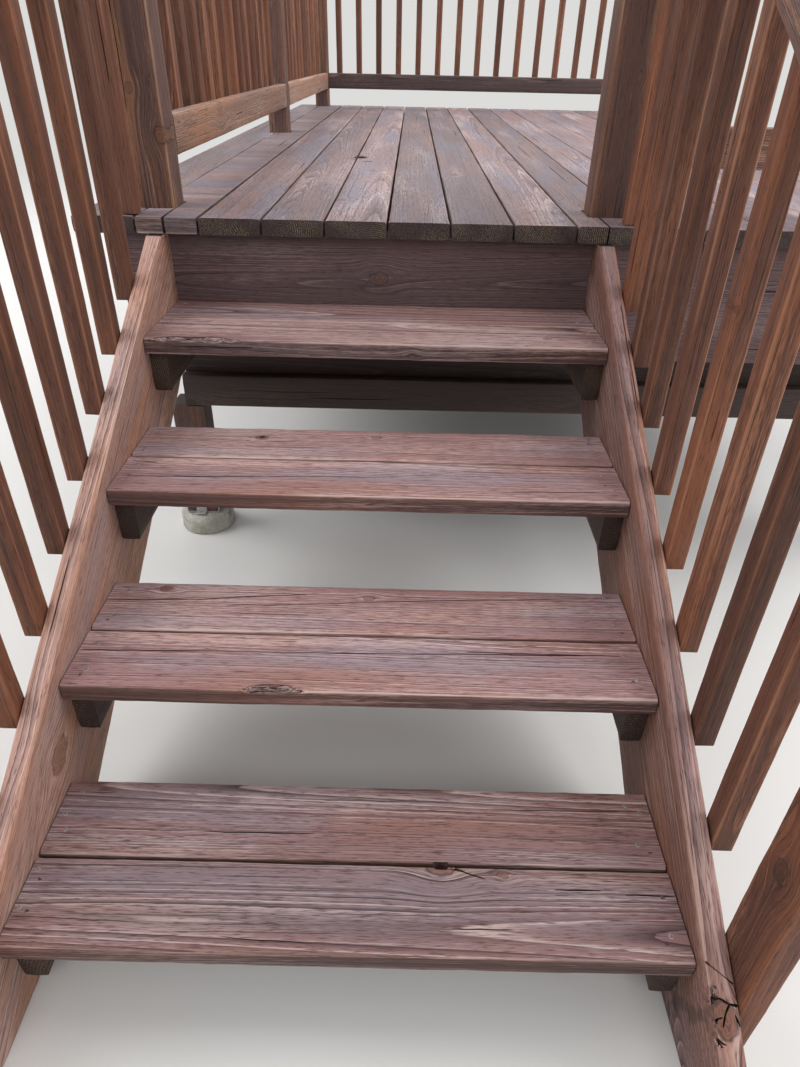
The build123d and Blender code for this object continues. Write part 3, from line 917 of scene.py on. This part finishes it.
# Cleats: short blocks on edge under the tread ends, sawn rough and never sanded. Their cut ends
# have gone a rusty olive brown.
cleat_wood = stained_wood(
    "cleat_wood", Stain=(0.070, 0.042, 0.034), Faded=(0.12, 0.08, 0.065), Grey=(0.09, 0.065, 0.055),
    Warm=(0.17, 0.085, 0.05), Bare=(0.22, 0.145, 0.105), Deep=(0.028, 0.018, 0.015), End=(0.16, 0.105, 0.06),
    Ridges=0.6,
)
for side in ("left", "right"):
    timber_piece(f"cleats_{side}", ALONG_Y, (0.019, 0.03, 0.018), cleat_wood, 21)

# Stringers: wide planks on edge that carry the treads. The top edges are sanded by weather to a
# pinkish tan, and the inner faces keep more of the warm stain. The left one's lighter wood is painted
# sunlight, and the right one's darker, redder copy is painted shade. The right one has a dead knot in the top
# of its foot that has come loose and cracked the wood about it.
RISE = 0.180
RUN = 0.326
STAIR_SLOPE = math.atan2(RISE, RUN)
STRINGER_TOP_AT_NOSE = 0.210
NOSE_LINE = -2.525
UP_THE_STAIR = Vector((0, math.cos(STAIR_SLOPE), math.sin(STAIR_SLOPE)))
SQUARE_TO_STAIR = Vector((0, -math.sin(STAIR_SLOPE), math.cos(STAIR_SLOPE)))
ALONG_SLOPE = (UP_THE_STAIR, SQUARE_TO_STAIR, X)
# Each crack is a run of places, right and back in metres, and its width
KNOT_CRACKS = (
    (((0.0540, -2.5660), (0.0495, -2.5750), (0.0480, -2.5860)), 0.0036),
    (((0.0480, -2.5850), (0.0475, -2.5930)), 0.0022),
    (((0.0475, -2.5910), (0.0478, -2.6000), (0.0492, -2.6095), (0.0530, -2.6150)), 0.0038),
    (((0.0495, -2.6100), (0.0600, -2.6142)), 0.0018),
    (((0.0520, -2.5700), (0.0606, -2.5690), (0.0728, -2.5745), (0.0817, -2.5759)), 0.0026),
    (((0.0733, -2.5748), (0.0669, -2.5832), (0.0610, -2.5960)), 0.0026),
    (((0.0500, -2.5937), (0.0555, -2.5895), (0.0607, -2.5885)), 0.0016),
    (((0.0793, -2.5867), (0.0832, -2.5984)), 0.0020),
    (((0.0520, -2.5336), (0.0678, -2.5442), (0.0840, -2.5556)), 0.0009),
)
# How deep they are, and the share by which each stretch runs on at both ends to meet the next
CRACK_DEPTH = 0.009
OVERRUN = 0.15
# A chip of raw wood beside the knot, and two sunk marks in the inner face: back and height
RAW_SPOT = (0.0565, -2.5620)
RAW_SIZE = (0.007, 0.004, 0.005)
SLOTS = ((-1.450, 0.773), (-1.652, 0.650))
SLOT_SIZE = (0.010, 0.0025, 0.012)
SLOT_LEAN = 0.6
inner_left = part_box("stringer_left")[1].x
inner_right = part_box("stringer_right")[0].x


def on_stringer(right, back):
    """A place on the stringer's top edge."""
    return Vector((right, back, STRINGER_TOP_AT_NOSE + (back - NOSE_LINE) * math.tan(STAIR_SLOPE)))


edge_level = on_stringer(0, 0).dot(SQUARE_TO_STAIR)
foot_damage = []
for path, width in KNOT_CRACKS:
    run = [Vector((on_stringer(*spot).dot(UP_THE_STAIR), spot[0])) for spot in path]
    for start, finish in zip(run, run[1:]):
        stretch = (finish - start) * OVERRUN
        foot_damage.append(crack(start - stretch, finish + stretch, edge_level, width, CRACK_DEPTH, True))
raw_spot = on_stringer(*RAW_SPOT)
foot_damage.append(((raw_spot.dot(UP_THE_STAIR), edge_level, raw_spot.x), RAW_SIZE, UNTURNED))
for back, height in SLOTS:
    spot = Vector((inner_right, back, height))
    middle = (spot.dot(UP_THE_STAIR), spot.dot(SQUARE_TO_STAIR), inner_right)
    foot_damage.append((middle, SLOT_SIZE, ("Z", SLOT_LEAN)))
# The left stringer's wood, painted lighter as sunlight on it
left_stringer_sunlit_timber = stained_wood(
    "left_stringer_sunlit_timber", Stain=(0.360, 0.205, 0.160), Faded=(0.42, 0.275, 0.250), Grey=(0.32, 0.225, 0.220),
    Warm=(0.42, 0.190, 0.105), Bare=(0.60, 0.44, 0.38), Deep=(0.070, 0.034, 0.031), End=(0.17, 0.13, 0.09),
    Greyness=0.6, Warmth=0.8, Amber=0.9, Ridges=0.9, Knots=0.4,
)
# A darker copy of the stringer wood for the right stringer: painted shade
right_stringer_shaded_timber = stained_wood(
    "right_stringer_shaded_timber", Stain=(0.205, 0.100, 0.076), Faded=(0.270, 0.170, 0.170), Grey=(0.20, 0.142, 0.150),
    Warm=(0.29, 0.120, 0.070), Bare=(0.44, 0.30, 0.265), Deep=(0.050, 0.023, 0.021), End=(0.17, 0.13, 0.09),
    Wear=-0.02, Greyness=0.6, Warmth=0.8, Amber=0.9, Ridges=0.9, Knots=0.4,
)
# The top edge takes twice the splits of either broad face
STRINGER_FACES = ((1, 1), (1, 1), *BROAD_FACES)
timber_piece(
    "stringer_left", ALONG_SLOPE, (0.0095, 0.020, 0.020), left_stringer_sunlit_timber, 313, chip=0.003,
    splits=(2.5, 0.3), faces=STRINGER_FACES, knots=(((inner_left, -2.253, 0.252), 0.022),),
)
timber_piece(
    "stringer_right", ALONG_SLOPE, (0.0095, 0.020, 0.020), right_stringer_shaded_timber, 34, chip=0.003,
    splits=(2.5, 0.3), faces=STRINGER_FACES, hollows=foot_damage,
    spikes=((on_stringer(0.0655, -2.590), 0.0165),), torn=((raw_spot, (0.012, 0.006, 0.010)),),
)

# Rims: the deep planks round the deck frame, dark partly with old stain and partly as painted shade under the
# boards.
rim_wood = stained_wood(
    "rim_wood", Stain=(0.140, 0.088, 0.090), Faded=(0.18, 0.12, 0.12), Grey=(0.125, 0.092, 0.102),
    Warm=(0.20, 0.105, 0.085), Bare=(0.30, 0.215, 0.215), Deep=(0.045, 0.026, 0.028), End=(0.13, 0.10, 0.07),
    Wear=-0.02, Ridges=0.9, Warmth=0.3,
)
ALONG_X_ON_EDGE = (X, Z, Y)
ALONG_Y_ON_EDGE = (Y, Z, X)
timber_piece(
    "front_rim", ALONG_X_ON_EDGE, (0.03, 0.019, 0.02), rim_wood, 41, splits=(2, 0.4),
    faces=((2, -1),), knots=(((-0.449, -1.262, 0.779), 0.015),),
)
timber_piece("front_rim_inner", ALONG_X_ON_EDGE, (0.12, 0, 0.05), rim_wood, 42)
timber_piece("back_rim", ALONG_X_ON_EDGE, (0.06, 0.019, 0.03), rim_wood, 43)
for side, outward in (("left", -1), ("right", 1)):
    timber_piece(
        f"side_rim_{side}", ALONG_Y_ON_EDGE, (0.019, 0.06, 0.03), rim_wood, 44,
        splits=(0.8, 0.4), faces=((2, outward),),
    )

# Deck boards: sixteen long boards laid up the deck with narrow gaps. The stain has washed out to a
# greyish mauve, whose bluish cast is painted sky reflection, and the cut ends over the rim are black, partly
# with damp and partly as painted shade. The left corner filler was sawn the other way of the grain. Each
# board has two nails a joist.
# The bluish grey of the deck wood is painted sky reflection over the weathered stain
deck_wood = stained_wood(
    "deck_wood", Stain=(0.085, 0.055, 0.052), Faded=(0.225, 0.157, 0.170), Grey=(0.195, 0.173, 0.215),
    Warm=(0.33, 0.185, 0.140), Bare=(0.50, 0.40, 0.385), Deep=(0.030, 0.018, 0.017), End=(0.23, 0.19, 0.12),
    Wear=-0.02, Greyness=0.85, Warmth=0.45, Amber=0.25, Ridges=0.55, Ring=0.0030, Knots=0.55, Shelter=0.5,
)
deck_low, deck_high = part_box("deck_boards")
# A knot has dropped out of the joint of two boards, and left a slit beside it: along, across, level
KNOT_HOLE = ((-0.140, -0.560, deck_high.z), (0.026, 0.024, 0.050), UNTURNED)
SLIT = crack((-0.253, -0.543), (-0.248, -0.510), deck_high.z, 0.010, 0.012)
FILLER = (-0.965, -1.25, 0.895)
deck = timber_piece(
    "deck_boards", ALONG_Y, (0.0195, 0.04, 0.019), deck_wood, 51, chip=0.0025,
    splits=(0.5, 0.5), hollows=(KNOT_HOLE, SLIT), crosswise=(FILLER,),
    knots=(((-0.560, -0.140, deck_high.z), 0.026),),
)
# The nails: how far from a board's middle, and how far off line at most, across and along it
NAIL_SPREAD = 0.042
OFF_ACROSS = 0.008
OFF_ALONG = 0.009
DECK_BOARDS = 16
BOARD_GAP = 0.003
JOISTS = 10
PLANK = 0.038
board_pitch = (deck_high.x - deck_low.x + BOARD_GAP) / DECK_BOARDS
joist_low, joist_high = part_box("joists")
joist_pitch = (joist_high.y - joist_low.y - PLANK) / (JOISTS - 1)
nail_rows = [joist_low.y + PLANK / 2 + n * joist_pitch for n in range(JOISTS)]
nail_rows += [sum(corner.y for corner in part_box(node)) / 2 for node in ("front_rim", "back_rim")]
rng = random.Random(5)
places = []
for row in nail_rows:
    for board in range(DECK_BOARDS):
        for across in (-NAIL_SPREAD, NAIL_SPREAD):
            x = deck_low.x + (board + 0.5) * board_pitch + across + rng.uniform(-OFF_ACROSS, OFF_ACROSS)
            y = row + rng.uniform(-OFF_ALONG, OFF_ALONG)
            places.append((deck, Vector((x, y, deck_high.z + ABOVE)), -Z))
drive_in(nail, places, "deck_nails", nail_steel)

# Stair balusters and foot newels: square sticks outside each stringer, stained a warm brown that
# has kept its colour on the upright faces, with square-cut feet. Two nails hold each at each end.
baluster_wood = stained_wood(
    "baluster_wood", Stain=(0.115, 0.045, 0.029), Faded=(0.22, 0.110, 0.080), Grey=(0.080, 0.043, 0.036),
    Warm=(0.27, 0.096, 0.044), Bare=(0.36, 0.175, 0.105), Deep=(0.036, 0.015, 0.010), End=(0.15, 0.11, 0.07),
    Wear=-0.10, Warmth=0.65, Amber=0.6, Ridges=0.55, Ring=0.0034, Knots=0.35,
)
NAILS_FROM_ENDS = (0.045, 0.095)
NAILS_OFF_LINE = 0.006


def nails_outside(sticks, outward):
    """Where upright sticks are nailed from outside: one over the other near the foot and the head."""
    places = []
    for _, middle, half in sticks_in(sticks, ALONG_Z)[1]:
        for end in (-1, 1):
            for from_end in NAILS_FROM_ENDS:
                height = middle[0] + end * (half[0] - from_end)
                off_line = rng.uniform(-NAILS_OFF_LINE, NAILS_OFF_LINE)
                spot = Vector((middle[1] + off_line, middle[2], height))
                places.append((sticks, spot + outward * OUTSIDE, -outward))
    return places


stair_nails = []
for side, seed, outward in (("left", 61, -X), ("right", 64, X)):
    balusters = timber_piece(
        f"stair_balusters_{side}", ALONG_Z, (0, 0, 0.035), baluster_wood, seed,
        splits=(1, 0.2), faces=((1, 1), (1, -1), (2, -1)),
    )
    newel = timber_piece(
        f"foot_newel_{side}", (Z, Y, X), (0.0095, 0.015, 0.025), baluster_wood, seed + 1,
        splits=(2, 0.3), faces=BROAD_FACES, knots=(((0.0872, -2.531, 0.418), 0.013),),
    )
    stair_nails += nails_outside(balusters, outward) + nails_outside(newel, outward)
drive_in(nail, stair_nails, "stair_nails", nail_steel)

# Stair rails and caps: a plank on edge fixed over each stringer's line, and a flat board on top
# of it and of the balusters for the hand.
rail_wood = stained_wood(
    "rail_wood", Stain=(0.175, 0.090, 0.064), Faded=(0.28, 0.180, 0.165), Grey=(0.120, 0.080, 0.078),
    Warm=(0.36, 0.170, 0.090), Bare=(0.50, 0.33, 0.25), Deep=(0.050, 0.024, 0.020), End=(0.15, 0.12, 0.08),
    Wear=-0.04, Greyness=0.6, Warmth=0.8, Ridges=0.95, Ring=0.0036,
)
for side, seed in (("left", 71), ("right", 74)):
    timber_piece(
        f"stair_rail_{side}", ALONG_SLOPE, (0.0095, 0.03, 0.02), rail_wood, seed,
        splits=(1.5, 0.3), faces=BROAD_FACES,
    )
    timber_piece(
        f"stair_cap_{side}", (UP_THE_STAIR, X, SQUARE_TO_STAIR), (0.014, 0.03, 0.02), rail_wood,
        seed + 1, chip=0.003, splits=(2, 0.4),
    )

# Head newels and guard posts: square posts that stand on the beams and rise past the deck. Their
# sides are a lighter tan where the stain has thinned.
post_wood = stained_wood(
    "post_wood", Stain=(0.120, 0.060, 0.048), Faded=(0.22, 0.14, 0.125), Grey=(0.100, 0.062, 0.060),
    Warm=(0.30, 0.135, 0.068), Bare=(0.42, 0.26, 0.17), Deep=(0.038, 0.019, 0.016), End=(0.15, 0.12, 0.08),
    Wear=-0.08, Greyness=0.6, Warmth=0.7, Amber=0.9, Ridges=0.5,
)
for number, node in enumerate(("head_newel_left", "head_newel_right", "guard_posts")):
    timber_piece(
        node, ALONG_Z, (0.022, 0.022, 0.04), post_wood, 81 + number, splits=(2, 0.4),
        faces=((1, 1), (1, -1), *BROAD_FACES), knots=(((-0.945, -1.186, 1.064), 0.013),),
    )

# Guards round the deck: two planks on edge between posts, square balusters nailed outside them
# and a flat cap over both.
# The back rails' darker copy of the rail wood is painted shade
shaded_rail_wood = stained_wood(
    "shaded_rail_wood", Stain=(0.070, 0.044, 0.044), Faded=(0.20, 0.135, 0.130), Grey=(0.062, 0.044, 0.048),
    Warm=(0.115, 0.060, 0.045), Bare=(0.20, 0.135, 0.115), Deep=(0.030, 0.017, 0.016), End=(0.12, 0.10, 0.07),
    Wear=-0.08, Ridges=0.9, Ring=0.0036,
)
# The left rails' lighter tan copy of the rail wood is painted sunlight
painted_sun_rail_wood = stained_wood(
    "painted_sun_rail_wood", Stain=(0.300, 0.165, 0.115), Faded=(0.36, 0.235, 0.200), Grey=(0.240, 0.155, 0.125),
    Warm=(0.43, 0.210, 0.120), Bare=(0.56, 0.38, 0.28), Deep=(0.070, 0.034, 0.025), End=(0.15, 0.12, 0.08),
    Wear=-0.04, Greyness=0.6, Warmth=0.8, Ridges=0.9, Ring=0.0036,
)
GUARDS = {
    "left": (ALONG_Y_ON_EDGE, (0.019, 0.05, 0.02), -X, painted_sun_rail_wood),
    "back": (ALONG_X_ON_EDGE, (0.05, 0.019, 0.02), Y, shaded_rail_wood),
    "front": (ALONG_X_ON_EDGE, (0.05, 0.019, 0.02), -Y, rail_wood),
}
RAIL_KNOT = (-0.965, -0.612, 1.088)
guard_nails = []
for number, (side, (axes, spacing, outward, wood)) in enumerate(GUARDS.items()):
    for level in ("bottom", "top"):
        timber_piece(
            f"guard_{level}_rail_{side}", axes, spacing, wood, 91 + number,
            splits=(1.5, 0.3), faces=BROAD_FACES, knots=((RAIL_KNOT, 0.018),),
        )
    balusters = timber_piece(
        f"guard_balusters_{side}", ALONG_Z, (0, 0, 0.06), baluster_wood, 95 + number,
    )
    guard_nails += nails_outside(balusters, outward)
    timber_piece(
        f"guard_cap_{side}", (axes[0], axes[2], Z), (*spacing[:2], 0), rail_wood, 99 + number,
        splits=(1, 0.4),
    )
drive_in(nail, guard_nails, "guard_nails", nail_steel)

# Joists and beams: the frame under the boards, painted nearly black as the full shade it stands in.
beam_wood = stained_wood(
    "beam_wood", Stain=(0.042, 0.027, 0.024), Faded=(0.075, 0.050, 0.044), Grey=(0.036, 0.027, 0.025),
    Warm=(0.062, 0.034, 0.025), Bare=(0.095, 0.068, 0.056), Deep=(0.02, 0.013, 0.012), End=(0.10, 0.08, 0.06),
    Wear=-0.1, Ridges=0.6,
)
timber_piece("joists", ALONG_X_ON_EDGE, (0.12, 0, 0.06), beam_wood, 111)
timber_piece("beams", ALONG_X_ON_EDGE, (0.06, 0, 0.03), beam_wood, 112)
timber_piece(
    "beam_facings", ALONG_X_ON_EDGE, (0.04, 0.019, 0.02), beam_wood, 113, splits=(1, 0.3),
    faces=((2, -1),),
)

# Feet: a reddish post stub in a galvanised shoe, nailed through its ears and with a bent tab in
# front, on a round cast pier whose shoulder the weather has rounded and the shoes' rust has stained.
foot_wood = stained_wood(
    "foot_wood", Stain=(0.075, 0.040, 0.034), Faded=(0.12, 0.075, 0.06), Grey=(0.065, 0.045, 0.040),
    Warm=(0.14, 0.065, 0.040), Bare=(0.20, 0.125, 0.085), Deep=(0.026, 0.016, 0.014), End=(0.10, 0.08, 0.05),
    Wear=-0.1, Warmth=0.6,
)
posts = timber_piece(
    "support_posts", ALONG_Z, (0.022, 0.022, 0.03), foot_wood, 121, splits=(4, 0.2),
    faces=((2, -1), (1, 1), (1, -1)),
)
METAL_EDGE = 0.0006
shoes = sawn_copy("post_bases", "galvanised_shoes", rounded=METAL_EDGE)
slice_up(shoes, (0.03, 0.03, 0.02))
disturb(shoes, ALONG_Z, 0.0006, (0.04, 0.04, 0.04))
zinc = old_metal("galvanised_steel", (0.50, 0.52, 0.54), (0.16, 0.075, 0.045), 0.46, 0.75)
shoes.data.materials.append(zinc)
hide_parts("post_bases")
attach(shoes, "root")

# Nails in each ear, as places beside its middle and heights
EAR_NAILS = ((-0.024, 0.080), (0.024, 0.080), (-0.024, 0.106), (0.024, 0.106))
TAB_WIDTH = 0.030
TAB_HEIGHT = 0.024
TAB_THICK = 0.0024
TAB_FOOT = 0.014
TAB_OFF_MIDDLE = -0.004
SHOE_BOTTOM = 0.063
ear_nails, tabs = [], []
for _, middle, half in sticks_in(posts, ALONG_Z)[1]:
    _, x, y = middle
    for outward in (-X, X):
        for sideways, height in EAR_NAILS:
            ear_nails.append((shoes, Vector((x, y + sideways, height)) + outward * OUTSIDE, -outward))
    front = y - half[2] - TAB_THICK / 2
    bpy.ops.mesh.primitive_cube_add(
        size=1, location=(x + TAB_OFF_MIDDLE, front, SHOE_BOTTOM + TAB_HEIGHT / 2),
        scale=(TAB_WIDTH, TAB_THICK, TAB_HEIGHT),
    )
    tab = bpy.context.object
    bpy.ops.object.mode_set(mode="EDIT")
    bpy.ops.mesh.select_all(action="SELECT")
    bpy.ops.mesh.bisect(plane_co=(x, y, SHOE_BOTTOM + TAB_THICK), plane_no=Z)
    bpy.ops.mesh.select_all(action="DESELECT")
    bpy.ops.object.mode_set(mode="OBJECT")

    def lowest_in_front(face):
        return face.normal.y < -0.9 and (tab.matrix_world @ face.center).z < SHOE_BOTTOM + TAB_THICK

    edit_faces(tab, lowest_in_front)
    bpy.ops.mesh.extrude_region_move(TRANSFORM_OT_translate={"value": (0, -TAB_FOOT, 0)})
    bpy.ops.object.mode_set(mode="OBJECT")
    tabs.append(tab)
tab = join(tabs, "shoe_tabs")
round_edges(tab, METAL_EDGE, 2)
tab.data.materials.append(zinc)
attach(tab, "root")
drive_in(nail, ear_nails, "shoe_nails", nail_steel)

# The piers: level edges above this height are rounded, and rings of faces in the top take the pits
SHOULDER = 0.040
SHOULDER_ROUND = 0.008
RING_WIDTH = 0.010
piers = sawn_copy("piers", "cast_piers", rounded=0)
for edge in piers.data.edges:
    heights = [piers.data.vertices[end].co.z for end in edge.vertices]
    edge.select = min(heights) > SHOULDER and max(heights) - min(heights) < 0.0002
bpy.ops.object.mode_set(mode="EDIT")
bpy.ops.mesh.select_mode(type="EDGE")
bpy.ops.mesh.bevel(offset=SHOULDER_ROUND, segments=3, affect="EDGES", clamp_overlap=True)
bpy.ops.object.mode_set(mode="OBJECT")
edit_faces(piers, lambda face: face.normal.z > 0.99)
for _ in range(4):
    bpy.ops.mesh.inset(thickness=RING_WIDTH)
bpy.ops.mesh.poke()
bpy.ops.object.mode_set(mode="OBJECT")
slice_up(piers, (0, 0, 0.010))
disturb(piers, ALONG_X, 0.004, (0.030, 0.030, 0.030))
disturb(piers, ALONG_X, 0.0012, (0.008, 0.008, 0.008))
bpy.ops.object.shade_smooth_by_angle(angle=math.radians(50))

concrete, tree, shader = new_material("cast_concrete")
place = put(tree, "TexCoord", out=3)
stones = put(tree, "TexVoronoi", {"Vector": place, "Scale": 230.0, "Randomness": 1.0})
stain = cloud(tree, place, 16.0, 5.0, 0.65)
sand = cloud(tree, place, 520.0, 3.0, 0.7)
patches = cloud(tree, place, 38.0, 4.0, 0.7)
GREY_GREEN = (0.34, 0.34, 0.27, 1.0)
PALE = (0.56, 0.55, 0.50, 1.0)
PORE = (0.15, 0.14, 0.12, 1.0)
RUST = (0.30, 0.17, 0.09, 1.0)
PIT_DEPTH = 0.0012
colour = mix(tree, rise(tree, stain, 0.32, 0.66), GREY_GREEN, PALE)
colour = mix(tree, rise(tree, patches, 0.60, 0.72), colour, RUST)
colour = mix(tree, rise(tree, sand, 0.36, 0.48), PORE, colour)
grit = put(tree, "Math", (stones, sand), operation="ADD")
bump = put(tree, "Bump", {"Distance": PIT_DEPTH, "Height": grit})
feed(tree, shader, {"Base Color": colour, "Roughness": 0.92, "Normal": bump})
piers.data.materials.append(concrete)
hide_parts("piers")
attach(piers, "root")

bpy.data.objects.remove(screw)
bpy.data.objects.remove(nail)
